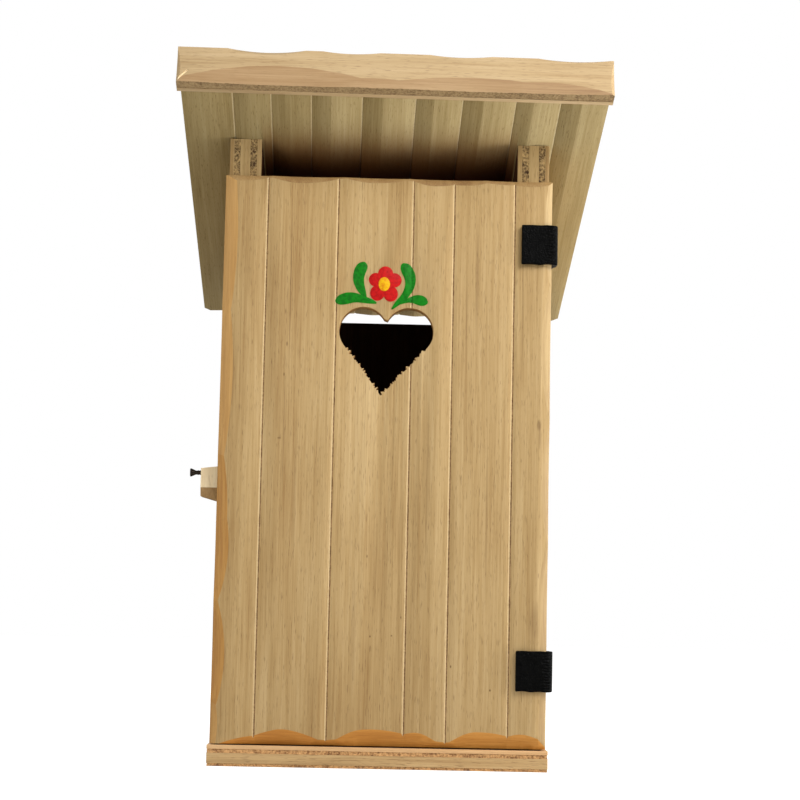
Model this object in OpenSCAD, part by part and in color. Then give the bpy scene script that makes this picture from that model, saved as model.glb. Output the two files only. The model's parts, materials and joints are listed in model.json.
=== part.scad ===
// Miniature wooden outhouse: a whittled craft model with a grooved door on leather straps.
// Origin: middle of the base plate's underside. +Z up, the door faces -Y.

/* [Base plate] */
// How far the plywood base plate stands out past the side walls, each side
base_lap = 2; // [1.2:0.1:15]
// Depth of the base plate, front to back
base_d = 152; // [110:0.5:200]
// Thickness of the base plate
base_t = 9.4; // [6:0.1:15]

/* [Side walls] */
// Distance between the outer faces of the two side walls
body_w = 148; // [120:0.5:190]
// Thickness of the side walls' plywood
wall_t = 14.7; // [9:0.1:18]
// Height of a side wall along its front edge, above the base plate
wall_h = 277; // [220:0.5:340]

/* [Roof panel] */
// Fall of the roof towards the back, in degrees
roof_pitch = 19; // [10:0.5:24]
// How far the roof panel stands out past the side walls, each side
roof_side = 21.8; // [5:0.1:45]
// Thickness of the roof panel
roof_t = 8; // [5:0.1:14]
// How far the panel runs in front of the side walls, along its slope
roof_front = 36.7; // [25:0.1:55]
// How far the panel runs behind the back panel, along its slope
roof_back = 24.1; // [5:0.1:55]
// How far the panel was turned in its own plane when it was nailed on, in degrees
roof_twist = 0.9; // [0:0.1:2]

/* [Roof fascia] */
// How far the strip nailed to the roof's front edge runs past the panel, each side
fascia_lap = 1.8; // [0:0.1:6]
// Height of the strip
fascia_h = 18.2; // [12:0.1:26]
// Thickness of the strip
fascia_t = 8.2; // [5:0.1:12]
// Size of the cut that whittling left along the strip's lower front edge
fascia_cut = 2.4; // [0.5:0.1:4]

/* [Door] */
// How far the door stands out past the side walls' outer faces, each side
door_lap = 1; // [0:0.1:3]
// Thickness of the door panel
door_t = 8; // [6:0.1:12]
// Gap between the door's back and the side walls' front edges
door_gap = 0.5; // [0.3:0.1:1.5]
// Gap between the door's lower edge and the base plate
floor_gap = 0.8; // [0.5:0.1:3]
// Open gap left over the door, below the roof line at the side walls' front
front_vent = 18.7; // [10:0.1:40]
// Size of the cut that whittling left along the door's outer edges
edge_cut = 2.5; // [0.5:0.1:4]

/* [Flutes] */
// Depth of the valleys between the carved boards of the door, back and roof panels
flute_d = 0.8; // [0.3:0.1:2]
// Place of a board's ridge between its two valleys, as a share of its width
ridge_share = 0.38; // [0.2:0.01:0.8]
// Number of boards carved on the back panel
back_boards = 6; // [4:1:9]

/* [Heart] */
// Width of the heart-shaped hole
heart_w = 43; // [25:0.5:60]
// Height from the lobes' centres down to the heart's tip
heart_tip = 29.5; // [18:0.5:45]
// How far the heart's tip leans to the left
heart_lean = 1.9; // [0:0.1:4]
// Distance of the lobes' centres below the door's upper edge
heart_drop = 71; // [45:0.5:120]

/* [Back panel] */
// Thickness of the back panel
back_t = 8; // [6:0.1:12]
// Open gap left over the back panel, below the roof
back_vent = 19.4; // [10:0.1:40]

/* [Leather strap hinges] */
// Thickness of the leather
strap_t = 2.2; // [1:0.1:3]
// Height of a strap
strap_h = 17.8; // [10:0.1:30]
// Length of strap on the door's face, in from its edge
strap_on_door = 14; // [8:0.5:30]
// Length of strap on the side wall, past the bend
strap_on_wall = 18; // [8:0.5:40]
// Free leather each side of the pivot line, which bends as the door opens
strap_bend = 1.8; // [1.5:0.1:4]
// Middle of the lower strap, above the door's lower edge
low_strap = 34.3; // [15:0.1:80]
// Middle of the upper strap, below the door's upper edge
high_strap = 30.2; // [15:0.1:60]

/* [Turn button] */
// Thickness of the wooden button, out from the wall
button_t = 7.5; // [5:0.1:14]
// Depth of the button, front to back
button_d = 14; // [8:0.5:20]
// Height of the button's inner face
button_h = 15.7; // [12:0.1:28]
// How far the slanted lower face rises towards the outer face
button_rise = 2.1; // [0.5:0.1:5]
// How far the upper face falls towards the outer face
button_fall = 0.9; // [0:0.1:0.9]
// Height of the whittled facets at the button's lower front and back edges
button_facet = 6; // [2:0.1:9]
// How deep those facets are cut in at the bottom
button_cut = 2.4; // [0.5:0.1:4]
// Gap between the button and the door's edge that it turns past
button_gap = 0.6; // [0.2:0.1:1]
// Height of the pivot screw above the base plate
screw_z = 122.1; // [60:0.1:200]
// Distance of the pivot screw behind the side wall's front edge
screw_back = 8; // [7:0.5:30]
// Distance of the pivot screw below the button's inner upper edge
screw_drop = 2.6; // [2.6:0.1:6]

/* [Screw] */
// Diameter of the screw's shank
screw_d = 2.2; // [1.6:0.1:2.8]
// Diameter of the screw's head
head_d = 3.8; // [3.4:0.1:6]
// Length of the countersunk head
head_l = 2.6; // [1:0.1:3]
// Free shank showing between the button and the head
shank_free = 2.8; // [0.5:0.1:5]
// Length of the screw inside the wall
screw_bite = 9; // [5:0.1:12]
// Radial clearance of the button's bore on the shank
bore_clear = 0.05; // [0.02:0.01:0.1]

/* [Hidden] */

// Places of the carved valleys across a panel, left to right; the boards are uneven
door_valleys = [0.13, 0.345, 0.575, 0.7, 0.885];
roof_valleys = [0.12, 0.21, 0.305, 0.425, 0.55, 0.66, 0.785, 0.89];
back_valleys = [for (i = [1 : back_boards - 1]) i / back_boards];

round_fn = 64;
past = 1;                                // how far a cut runs past the face it opens

wall_x = body_w / 2;                     // outer face of a side wall
base_w = body_w + 2 * base_lap;
door_w = body_w + 2 * door_lap;
base_ledge = 0.5;                        // base plate showing in front of the door's face
door_y0 = -base_d / 2 + base_ledge;
door_y1 = door_y0 + door_t;
wall_y0 = door_y1 + door_gap;            // front edge of the side walls
back_y1 = base_d / 2;
back_y0 = back_y1 - back_t;              // back edge of the side walls
wall_z1 = base_t + wall_h;
door_z0 = base_t + floor_gap;
door_z1 = wall_z1 - front_vent;
back_z1 = roof_under(back_y0) - back_vent;

roof_w = body_w + 2 * roof_side;
roof_l = roof_front + (back_y1 - wall_y0) / cos(roof_pitch) + roof_back;
fascia_w = roof_w + 2 * fascia_lap;

heart_r = heart_w / 4 + 0.3;             // lobes overlap a little at the notch
heart_bulge = 0.05;                      // how far a lobe stands out past the straight sides
heart_cx = heart_w / 2 - heart_r;
heart_z = door_z1 - heart_drop;

door_x = door_w / 2;                     // door's edge
pivot_y = (door_y1 + wall_y0) / 2;       // the door turns about the middle of the leather
upper_strap_z = door_z1 - high_strap;
lower_strap_z = door_z0 + low_strap;

button_x1 = -door_x - button_gap;        // inner face of the button
button_x0 = button_x1 - button_t;
screw_axis_z = base_t + screw_z;
screw_y = wall_y0 + screw_back;
button_z1 = screw_axis_z + screw_drop;
button_z0 = button_z1 - button_h;
slot_w = 0.7;                            // driver slot across the screw's head
slot_d = 0.7;

// Height of the roof panel's underside over a place y
function roof_under(y) = wall_z1 - (y - wall_y0) * tan(roof_pitch);

// Points along a carved face, left to right: a valley, then the ridge of the board after it
function carved(width, valleys) = [
    for (i = [0 : len(valleys) - 1])
        let (next = i < len(valleys) - 1 ? valleys[i + 1] : 1)
            each [[(valleys[i] - 0.5) * width, flute_d],
                  [(valleys[i] + ridge_share * (next - valleys[i]) - 0.5) * width, 0]]
];

// Point where the line from p touches the circle (c, r); side is 1 or -1
function touch_point(p, c, r, side) =
    let (
        v = p - c,
        turn = atan2(v[1], v[0]) + side * acos(r / norm(v))
    )
    c + r * [cos(turn), sin(turn)];

// Extrudes a side outline of [y, z] points along X, from x0 to x1
module from_side(x0, x1) {
    translate([x0, 0, 0]) rotate([90, 0, 90]) linear_extrude(x1 - x0) children();
}

// Extrudes a front outline of [x, z] points along Y, from y0 to y1
module from_front(y0, y1) {
    translate([0, y1, 0]) rotate([90, 0, 0]) linear_extrude(y1 - y0) children();
}

// Panel standing on z = 0 with its carved face at y = 0, looking along -Y
module carved_panel(width, thickness, height, valleys) {
    linear_extrude(height)
        polygon(concat([[-width / 2, 0]], carved(width, valleys), [[width / 2, 0]],
                       [[width / 2, thickness], [-width / 2, thickness]]));
}

module heart_outline() {
    left = [-heart_cx, 0];
    right = [heart_cx, 0];
    tip = [-heart_lean, -heart_tip];
    translate([-heart_cx, 0]) circle(heart_r, $fn = round_fn);
    translate([heart_cx, 0]) circle(heart_r, $fn = round_fn);
    polygon([left, touch_point(tip, left, heart_r - heart_bulge, -1), tip,
             touch_point(tip, right, heart_r - heart_bulge, 1), right]);
}

// Puts children in the roof panel's own frame: origin under its middle, Y down the slope
module on_roof() {
    translate([0, wall_y0, wall_z1]) rotate([-roof_pitch, 0, 0])
        translate([0, roof_l / 2 - roof_front, 0]) rotate([0, 0, roof_twist]) children();
}

module base_plate() {
    color("burlywood") translate([-base_w / 2, -base_d / 2, 0]) cube([base_w, base_d, base_t]);
}

module side_wall(x0) {
    from_side(x0, x0 + wall_t)
        polygon([[wall_y0, base_t], [back_y0, base_t],
                 [back_y0, roof_under(back_y0)], [wall_y0, wall_z1]]);
}

module left_wall() {
    color("tan") difference() {
        side_wall(-wall_x);
        translate([-wall_x - past, screw_y, screw_axis_z]) rotate([0, 90, 0])
            cylinder(d = screw_d, h = screw_bite + past, $fn = round_fn);
    }
}

module right_wall() {
    color("tan") side_wall(wall_x - wall_t);
}

module back_panel() {
    color("burlywood") translate([0, back_y1, base_t]) rotate([0, 0, 180])
        carved_panel(body_w, back_t, back_z1 - base_t, back_valleys);
}

module roof_panel() {
    color("peru") on_roof() translate([0, roof_l / 2, 0]) rotate([90, 0, 0])
        carved_panel(roof_w, roof_t, roof_l, roof_valleys);
}

module roof_fascia() {
    front = -roof_l / 2 - fascia_t;
    color("burlywood") on_roof() from_side(-fascia_w / 2, fascia_w / 2)
        polygon([[front, 2 * fascia_cut], [front + fascia_cut / 2, 0],
                 [front + fascia_t, 0], [front + fascia_t, fascia_h], [front, fascia_h]]);
}

module door_panel() {
    color("burlywood") difference() {
        translate([0, door_y0, door_z0])
            carved_panel(door_w, door_t, door_z1 - door_z0, door_valleys);
        from_front(door_y0 - past, door_y1 + past) translate([0, heart_z]) heart_outline();
        door_edge_cuts();
    }
}

// Wedges whittled off the four outer edges of the door's face
module door_edge_cuts() {
    wedge = [[-past, -past], [edge_cut, -past], [edge_cut, 0], [0, edge_cut], [-past, edge_cut]];
    for (side = [-1, 1]) {
        translate([side * door_x, door_y0, door_z0 - past])
            mirror([side < 0 ? 0 : 1, 0, 0])
                linear_extrude(door_z1 - door_z0 + 2 * past) polygon(wedge);
    }
    from_side(-door_x - past, door_x + past) {
        translate([door_y0, door_z0]) polygon(wedge);
        translate([door_y0, door_z1]) mirror([0, 1]) polygon(wedge);
    }
}

// Leather on the door: along its face, round its corner and back towards the pivot
module strap_on_door_leaf(z) {
    face_y = door_y0 - strap_t;
    end_y = pivot_y - strap_bend;
    color("#1c1a19") translate([0, 0, z - strap_h / 2]) linear_extrude(strap_h)
        polygon([[door_x - strap_on_door, face_y], [door_x + strap_t, face_y],
                 [door_x + strap_t, end_y], [door_x, end_y],
                 [door_x, door_y0], [door_x - strap_on_door, door_y0]]);
}

// Leather on the side wall, behind the pivot
module strap_on_wall_leaf(z) {
    color("#1c1a19") translate([wall_x, pivot_y + strap_bend, z - strap_h / 2])
        cube([strap_t, strap_on_wall, strap_h]);
}

module upper_strap_door() { strap_on_door_leaf(upper_strap_z); }
module upper_strap_wall() { strap_on_wall_leaf(upper_strap_z); }
module lower_strap_door() { strap_on_door_leaf(lower_strap_z); }
module lower_strap_wall() { strap_on_wall_leaf(lower_strap_z); }

module turn_button() {
    y0 = screw_y - button_d / 2;
    y1 = screw_y + button_d / 2;
    facet_z = button_z0 + button_facet;
    color("wheat") difference() {
        intersection() {
            from_front(y0, y1)
                polygon([[button_x1, button_z0], [button_x1, button_z1],
                         [button_x0, button_z1 - button_fall],
                         [button_x0, button_z0 + button_rise]]);
            from_side(button_x0, button_x1)
                polygon([[y0, facet_z], [y0 + button_cut, button_z0], [y1 - button_cut, button_z0],
                         [y1, facet_z], [y1, button_z1], [y0, button_z1]]);
        }
        translate([button_x0 - past, screw_y, screw_axis_z]) rotate([0, 90, 0])
            cylinder(d = screw_d + 2 * bore_clear, h = button_t + 2 * past, $fn = round_fn);
    }
}

module button_screw() {
    head_x = button_x0 - shank_free - head_l;
    tip_x = -wall_x + screw_bite;
    color("#222222") difference() {
        translate([head_x, screw_y, screw_axis_z]) rotate([0, 90, 0]) {
            cylinder(d1 = head_d, d2 = screw_d, h = head_l, $fn = round_fn);
            cylinder(d = screw_d, h = tip_x - head_x, $fn = round_fn);
        }
        translate([head_x - past, screw_y - slot_w / 2, screw_axis_z - head_d])
            cube([slot_d + past, slot_w, 2 * head_d]);
    }
}

base_plate();
left_wall();
right_wall();
back_panel();
roof_panel();
roof_fascia();
door_panel();
upper_strap_door();
upper_strap_wall();
lower_strap_door();
lower_strap_wall();
turn_button();
button_screw();
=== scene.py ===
# %% [markdown]
# # A little whittled outhouse, made piece by piece
# This lesson dresses a imported model of a small wooden outhouse. Its sizes, its bodies and its
# joints are already settled: a cabin, a door that swings on two leather straps, and a wooden
# turn button on one screw. Loading the frame comes first, because every piece made here has to
# sit where the imported model says, and all but the straps ride on one of its bodies.

# %% Load the frame
import json
import math
import random

import bmesh
import bpy
from mathutils import Matrix, Vector

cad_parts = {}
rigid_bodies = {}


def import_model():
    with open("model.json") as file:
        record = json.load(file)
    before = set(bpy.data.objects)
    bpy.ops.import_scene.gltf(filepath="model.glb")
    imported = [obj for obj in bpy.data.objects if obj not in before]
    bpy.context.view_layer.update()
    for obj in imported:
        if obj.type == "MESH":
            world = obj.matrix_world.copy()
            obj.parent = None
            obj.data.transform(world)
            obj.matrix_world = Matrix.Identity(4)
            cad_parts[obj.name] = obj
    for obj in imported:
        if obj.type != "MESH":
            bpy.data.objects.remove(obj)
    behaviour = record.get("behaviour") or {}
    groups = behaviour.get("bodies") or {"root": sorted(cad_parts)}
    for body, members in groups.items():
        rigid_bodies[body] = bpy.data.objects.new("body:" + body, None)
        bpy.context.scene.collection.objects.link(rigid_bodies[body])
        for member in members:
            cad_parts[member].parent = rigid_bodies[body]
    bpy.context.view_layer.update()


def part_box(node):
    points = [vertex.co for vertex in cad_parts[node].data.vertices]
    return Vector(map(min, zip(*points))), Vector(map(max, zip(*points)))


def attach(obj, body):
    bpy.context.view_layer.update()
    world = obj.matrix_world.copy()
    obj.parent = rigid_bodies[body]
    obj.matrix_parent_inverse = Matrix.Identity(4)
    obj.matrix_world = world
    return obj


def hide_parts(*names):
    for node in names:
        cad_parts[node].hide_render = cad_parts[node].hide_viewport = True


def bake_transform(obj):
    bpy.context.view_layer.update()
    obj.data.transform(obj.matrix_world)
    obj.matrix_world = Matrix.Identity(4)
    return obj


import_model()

# %% [markdown]
# ## Working by hand, in code
# Each piece starts as a primitive, is shaped in edit mode, and ends with modifiers that are
# applied. Operators act on whatever is selected, so the first helpers put everything down, take
# up one piece, and select its faces, edges or points by where they are. Lengths are written in
# millimetres, as a maker would, and turned into metres here.

# %% Put down, take up, select by place
MM = 0.001
X, Y, Z = Vector((1, 0, 0)), Vector((0, 1, 0)), Vector((0, 0, 1))


def mm(x, y, z):
    """A place given in millimetres."""
    return Vector((x, y, z)) * MM


def put_down():
    """Leaves edit mode and deselects everything."""
    if bpy.context.object and bpy.context.object.mode != "OBJECT":
        bpy.ops.object.mode_set(mode="OBJECT")
    bpy.ops.object.select_all(action="DESELECT")


def take(piece):
    """Selects one piece alone and makes it the active one."""
    put_down()
    piece.select_set(True)
    bpy.context.view_layer.objects.active = piece


def middle(item):
    """The middle of a point, an edge or a face."""
    points = [item] if hasattr(item, "co") else item.verts
    return sum((p.co for p in points), Vector()) / len(points)


def pick(piece, kind, test):
    """Opens a piece and selects just the points, edges or faces that pass the test."""
    take(piece)
    bpy.ops.object.mode_set(mode="EDIT")
    bpy.ops.mesh.select_mode(type=kind)
    bpy.ops.mesh.select_all(action="DESELECT")
    mesh = bmesh.from_edit_mesh(piece.data)
    parts = {"VERT": mesh.verts, "EDGE": mesh.edges, "FACE": mesh.faces}[kind]
    for item in [part for part in parts if test(part)]:
        item.select_set(True)
    if kind == "VERT":
        mesh.select_flush(True)
    bmesh.update_edit_mesh(piece.data)


def everything(item):
    """A test that every point, edge or face passes."""
    return True


def push_points(piece, test, move):
    """Moves the points of a piece that pass the test."""
    pick(piece, "VERT", test)
    bpy.ops.transform.translate(value=move)
    put_down()


# %% Blocks, slices, cuts and modifiers
def new_piece(name):
    """Names the primitive that was just added."""
    piece = bpy.context.object
    piece.name = piece.data.name = name
    return piece


def block(name, low, high):
    """A cube primitive resized and moved in edit mode to run from one corner to the other."""
    put_down()
    bpy.ops.mesh.primitive_cube_add(size=1)
    piece = new_piece(name)
    pick(piece, "FACE", everything)
    bpy.ops.transform.resize(value=high - low)
    bpy.ops.transform.translate(value=(low + high) / 2)
    put_down()
    return piece


def slice_through(piece, place, normal, **choices):
    """Cuts the whole piece along a flat plane, as with a fine saw."""
    pick(piece, "FACE", everything)
    bpy.ops.mesh.bisect(plane_co=place, plane_no=normal, **choices)
    put_down()


def shave(piece, place, normal):
    """Slices off what lies on the side that the normal points to, and closes the cut."""
    slice_through(piece, place, normal, use_fill=True, clear_outer=True)


def finish_with(piece, kind, **values):
    """Adds a modifier, sets it and applies it."""
    take(piece)
    modifier = piece.modifiers.new(kind.title(), kind)
    for key, value in values.items():
        setattr(modifier, key, value)
    bpy.ops.object.modifier_apply(modifier=modifier.name)


def carve(piece, cutter, operation="DIFFERENCE"):
    """Cuts with another solid; the faces that the cut leaves take the cutter's finish."""
    finish_with(piece, "BOOLEAN", object=cutter, operation=operation, solver="MANIFOLD",
                material_mode="TRANSFER")
    bpy.data.objects.remove(cutter, do_unlink=True)
    assert len(piece.data.polygons), f"nothing was left of {piece.name}"


def lay(piece, place):
    """Moves a piece from the bench to its place, and leaves the object itself at the origin."""
    take(piece)
    piece.matrix_world = place
    bpy.ops.object.transform_apply(location=True, rotation=True, scale=True)


def ease_edges(piece, width, angle=35, segments=2, smooth=None):
    """Rubs the sharp edges off and smooths the shading between shallow facets."""
    finish_with(piece, "BEVEL", width=width * MM, segments=segments, limit_method="ANGLE",
                angle_limit=math.radians(angle))
    take(piece)
    bpy.ops.object.shade_smooth_by_angle(angle=math.radians(smooth or angle))
    put_down()


def thicken_cutter(cutter, move, finish):
    """Extrudes what is selected of a flat cutter into a closed solid, and gives it a finish."""
    bpy.ops.mesh.extrude_region_move(TRANSFORM_OT_translate={"value": move})
    bpy.ops.mesh.select_all(action="SELECT")
    bpy.ops.mesh.normals_make_consistent(inside=False)
    put_down()
    cutter.data.materials.append(finish)


# %% [markdown]
# ## Finishes
# No picture of wood is wrapped round a piece. A material is a small set of nodes that reads the
# piece's own Object coordinates, so the grain sits still in the wood. One helper adds a node and
# plugs it in. Colours are written as on a paint chart, 0 to 255, and turned into the linear
# values that a shader wants.

# %% Node helpers
def tone(red, green, blue):
    """A paint-chart colour as a linear one."""
    shares = [c / 255 for c in (red, green, blue)]
    return tuple(c / 12.92 if c <= 0.04045 else ((c + 0.055) / 1.055) ** 2.4 for c in shares) + (1,)


def add_node(tree, kind, plugs=None, **settings):
    """Adds a shader node; each plug is a number, a colour or another node's socket."""
    node = tree.nodes.new("ShaderNode" + kind)
    for key, value in settings.items():
        setattr(node, key, value)
    for key, value in (plugs or {}).items():
        if isinstance(value, bpy.types.NodeSocket):
            tree.links.new(value, node.inputs[key])
        else:
            node.inputs[key].default_value = value
    return node


def new_finish(name, roughness, **sockets):
    """An empty material with its shader; sockets are constants set on the shader itself."""
    finish = bpy.data.materials.new(name)
    finish.use_nodes = True
    shader = finish.node_tree.nodes["Principled BSDF"]
    shader.inputs["Roughness"].default_value = roughness
    for key, value in sockets.items():
        shader.inputs[key.replace("_", " ")].default_value = value
    return finish, finish.node_tree, shader


def ramp(tree, value, stops, colour=True):
    """A colour ramp through the given stops of (place, colour or grey)."""
    node = add_node(tree, "ValToRGB", {"Fac": value})
    band = node.color_ramp
    while len(band.elements) < len(stops):
        band.elements.new(1)
    for element, (place, shade) in zip(band.elements, stops):
        element.position = place
        element.color = shade if colour else (shade, shade, shade, 1)
    return node.outputs["Color"]


def own_place(tree):
    """The piece's own Object coordinates."""
    return add_node(tree, "TexCoord").outputs["Object"]


def maths(tree, operation, first, second, kind="Math"):
    """One step of arithmetic on node values."""
    return add_node(tree, kind, {0: first, 1: second}, operation=operation).outputs[0]


def weighed(tree, *patterns):
    """The sum of patterns, each given with its weight."""
    total = None
    for pattern, weight in patterns:
        part = maths(tree, "MULTIPLY", pattern, weight)
        total = part if total is None else maths(tree, "ADD", total, part)
    return total


def noise(tree, vector, scale, detail=2, roughness=0.5):
    """Cloudy noise, with its features one over scale metres across."""
    return add_node(tree, "TexNoise", {"Vector": vector, "Scale": scale, "Detail": detail,
                                       "Roughness": roughness}).outputs["Fac"]


def blend_colours(tree, share, first, second):
    """Mixes two colours by a share that varies over the surface."""
    return add_node(tree, "Mix", {0: share, 6: first, 7: second}, data_type="RGBA").outputs[2]


def dress(tree, shader, colour, height, distance, strength):
    """Gives a shader its colour and a fine relief that catches the light."""
    tree.links.new(colour, shader.inputs["Base Color"])
    bump = add_node(tree, "Bump", {"Height": height, "Distance": distance, "Strength": strength})
    tree.links.new(bump.outputs[0], shader.inputs["Normal"])


# %% [markdown]
# ## Pale wood
# The outhouse is pale, straight-grained wood, sawn and left bare. Bare wood shows broad warm
# and cool bands, fine streaks along the grain, and short dark pores. Each is the same cloudy
# noise, drawn out along the grain by squeezing that axis. `place` turns the pattern with a piece
# that isn't upright, so that the grain always runs the way the saw went.

# %% Brown marks and painted shade
BROWNING = (0.46, 0.38, 0.28, 1)            # what a brown mark, a pore or a spot of painted shade keeps of red, green and blue
SHADE_BROWN, SHADE_DARK = tone(132, 76, 26), tone(46, 14, 3)


def brown_of(colour):
    """A darker, browner version of a wood colour."""
    return tuple(part * kept for part, kept in zip(colour, BROWNING))


def ranged(tree, value, start, stop, first=0.0, last=1.0):
    """Follows a value smoothly from one number to another between two limits."""
    return add_node(tree, "MapRange", {"Value": value, "From Min": start, "From Max": stop,
                                       "To Min": first, "To Max": last},
                    interpolation_type="SMOOTHSTEP").outputs[0]


def spot_on(tree, colour, bench, brown, x, z, half_wide, half_tall, share):
    """A soft brown spot or streak at a place on the panel, in millimetres: a blemish of the wood, or
    painted shade.
    """
    away = maths(tree, "SUBTRACT", bench, mm(x, 0, z), "VectorMath")
    away = maths(tree, "MULTIPLY", away, (1 / (half_wide * MM), 0, 1 / (half_tall * MM)), "VectorMath")
    reach = add_node(tree, "VectorMath", {0: away}, operation="LENGTH").outputs["Value"]
    return blend_colours(tree, ranged(tree, reach, 1.0, 0.25, 0.0, share), colour, brown)


def painted_room_shade(tree, colour, half_wide, y_start, y_full, y_end):
    """Painted shade, nearly black, over the closed room: between two sides, from its front to its
    back, and up from inside the base plate, whose underside is left unshaded."""
    x, y, z = add_node(tree, "SeparateXYZ", {0: own_place(tree)}).outputs
    sideways = maths(tree, "ABSOLUTE", x, 0)
    within = ranged(tree, sideways, (half_wide + 0.4) * MM, (half_wide - 1.0) * MM)
    behind = ranged(tree, y, y_start * MM, y_full * MM, 0, 0.96)
    before = ranged(tree, y, y_end * MM, (y_end - 3) * MM)
    above = ranged(tree, z, 4 * MM, 8 * MM)
    share = maths(tree, "MULTIPLY", maths(tree, "MULTIPLY", within, behind),
                  maths(tree, "MULTIPLY", before, above))
    brown = blend_colours(tree, share, colour, SHADE_BROWN)
    return blend_colours(tree, maths(tree, "POWER", share, 3), brown, SHADE_DARK)


# %% The wood finish
def wood(name, pale, middling, deep, place=None, grain="Z", shift=(0, 0, 0), pores=0.35,
         roughness=0.72, marks=(), stain=None, **sockets):
    """Bare wood with its grain along one axis of the bench; brown spots and painted shade lie on top of
    it.
    """
    finish, tree, shader = new_finish(name, roughness, **sockets)
    place = place or Matrix()
    bench = add_node(tree, "Mapping", {"Vector": own_place(tree), "Location": place.to_translation(),
                                       "Rotation": place.to_euler()}, vector_type="TEXTURE").outputs[0]
    moved = maths(tree, "ADD", bench, shift, "VectorMath")

    def drawn_out(share):
        """The bench coordinates squeezed along the grain."""
        along = [share if axis == grain else 1 for axis in "XYZ"]
        return maths(tree, "MULTIPLY", moved, along, "VectorMath")

    # bands are the year rings, streaks and hairs the fibres, and the cloud is uneven ageing
    bands = noise(tree, drawn_out(0.05), 60, 3, 0.55)
    streaks = noise(tree, drawn_out(0.03), 400, 5, 0.68)
    hairs = noise(tree, drawn_out(0.02), 1500)
    cloud = noise(tree, drawn_out(0.5), 35)
    pattern = weighed(tree, (bands, 0.36), (streaks, 0.3), (hairs, 0.22), (cloud, 0.12))
    colour = ramp(tree, pattern, [(0.37, deep), (0.5, middling), (0.63, pale)])
    dashes = noise(tree, drawn_out(0.08), 2900, 1)
    pore = ramp(tree, dashes, [(0.61, 0), (0.74, pores * 1.3)], colour=False)
    brown = brown_of(deep)
    colour = blend_colours(tree, pore, colour, brown)
    for spot_or_shade in marks:
        colour = spot_on(tree, colour, bench, brown, *spot_or_shade)
    if stain:
        colour = painted_room_shade(tree, colour, *stain)
    height = maths(tree, "SUBTRACT", maths(tree, "ADD", streaks, hairs), pore)
    dress(tree, shader, colour, height, 0.0002, 0.25)
    return finish


# %% [markdown]
# ## Where the roof lies
# The roof was nailed on at a slope, its underside touching the front top corners of the side
# walls, and turned a touch in its own plane. Its panel and its front strip are made flat on the
# bench and then laid there with one matrix, which the grain patterns use as well.

# %% The roof's place
left_low, left_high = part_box("left_wall")
back_low, back_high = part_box("back_panel")
ROOF_PITCH = math.radians(19)
ROOF_TWIST = math.radians(0.9)
ROOF_FRONT, ROOF_BACK, ROOF_SIDE, ROOF_THICK = 36.7 * MM, 24.1 * MM, 21.8 * MM, 8 * MM
roof_width = -2 * left_low.x + 2 * ROOF_SIDE
roof_length = ROOF_FRONT + (back_high.y - left_low.y) / math.cos(ROOF_PITCH) + ROOF_BACK
roof_place = (Matrix.Translation((0, left_low.y, left_high.z)) @ Matrix.Rotation(-ROOF_PITCH, 4, "X")
              @ Matrix.Translation((0, roof_length / 2 - ROOF_FRONT, 0))
              @ Matrix.Rotation(ROOF_TWIST, 4, "Z"))
upright_to_roof = roof_place @ Matrix.Rotation(math.pi / 2, 4, "X")
print("roof panel", round(roof_width / MM, 1), "x", round(roof_length / MM, 1), "mm")

# %% The finishes of the wooden pieces
BARE = tone(191, 162, 113), tone(174, 143, 92), tone(147, 112, 61)    # pale, middling and deep
DOOR_MARKS = (                              # x, z, half width, half height, share of brown
    (-4.4, 58.6, 0.5, 0.7, 0.9), (5.2, 59.1, 0.5, 0.6, 0.8), (9.3, 67.3, 0.4, 0.9, 0.8),
    (32, 45.9, 0.5, 0.9, 0.9), (49.8, 35.7, 0.6, 0.8, 0.9), (-6.5, 94.4, 0.4, 1.0, 0.8),
    (70.2, 155.3, 1.4, 3.4, 0.55), (70.6, 150, 0.8, 8, 0.35), (41, 222, 1.1, 34, 0.3),
    (36.5, 205, 0.6, 26, 0.25), (70, 66, 5, 12, 0.3), (-40, 120, 1.2, 40, 0.16),
    (20, 130, 0.9, 60, 0.16), (47, 110, 0.8, 50, 0.2), (-12, 60, 1.5, 36, 0.16),
    (62, 205, 0.7, 40, 0.2), (-44, 215, 0.35, 50, 0.5), (-45, 190, 0.5, 1.6, 0.7),
    (-46, 176, 0.6, 1.2, 0.6), (-45.5, 150, 0.3, 44, 0.4), (-47.5, 147, 1.1, 0.7, 0.6))
ROOM = (59.3, -86, -34, 70)                 # half the room's width; where its painted shade starts, is full, ends
JOINT_SHADE = tuple((x, -70.3, 7.8, 1.5, 0.9) for x in (-66.6, 66.6))    # painted shade where the walls meet the roof
DULL = {"Specular_IOR_Level": 0.1}
# The underside's wood also carries the room's painted shade and painted shade where the walls meet the
# roof.
under_roof = dict(place=upright_to_roof, shift=(0.1, 0.5, 0.2), stain=ROOM, marks=JOINT_SHADE, **DULL)
door_wood = wood("pale_wood_door", *BARE, shift=(0.3, 0, 0.1), marks=DOOR_MARKS)
back_wood = wood("pale_wood_back", *BARE, shift=(0.7, 0.2, 0.4))
roof_wood = wood("pale_wood_roof", *BARE, place=upright_to_roof, shift=(0.1, 0.5, 0.2))
# The carved underside is darker and greyer than the roof's top: painted shade. The lighter of the two is
# painted light for the slopes that face right.
roof_under_painted_light = wood("pale_wood_under_roof_painted_light", tone(189, 171, 127), tone(174, 154, 109),
                  tone(153, 133, 88), **under_roof)
roof_under_painted_shade = wood("pale_wood_under_roof_painted_shade", tone(167, 149, 106), tone(153, 134, 91),
                 tone(133, 113, 70), **under_roof)
strip_wood = wood("pale_wood_strip", tone(202, 175, 134), tone(189, 161, 118), tone(165, 134, 90),
                  place=roof_place, grain="X", shift=(0.2, 0.9, 0))
wall_wood = wood("pale_veneer_wall", *BARE, shift=(0.9, 0.4, 0.6), pores=0.2)
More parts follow.
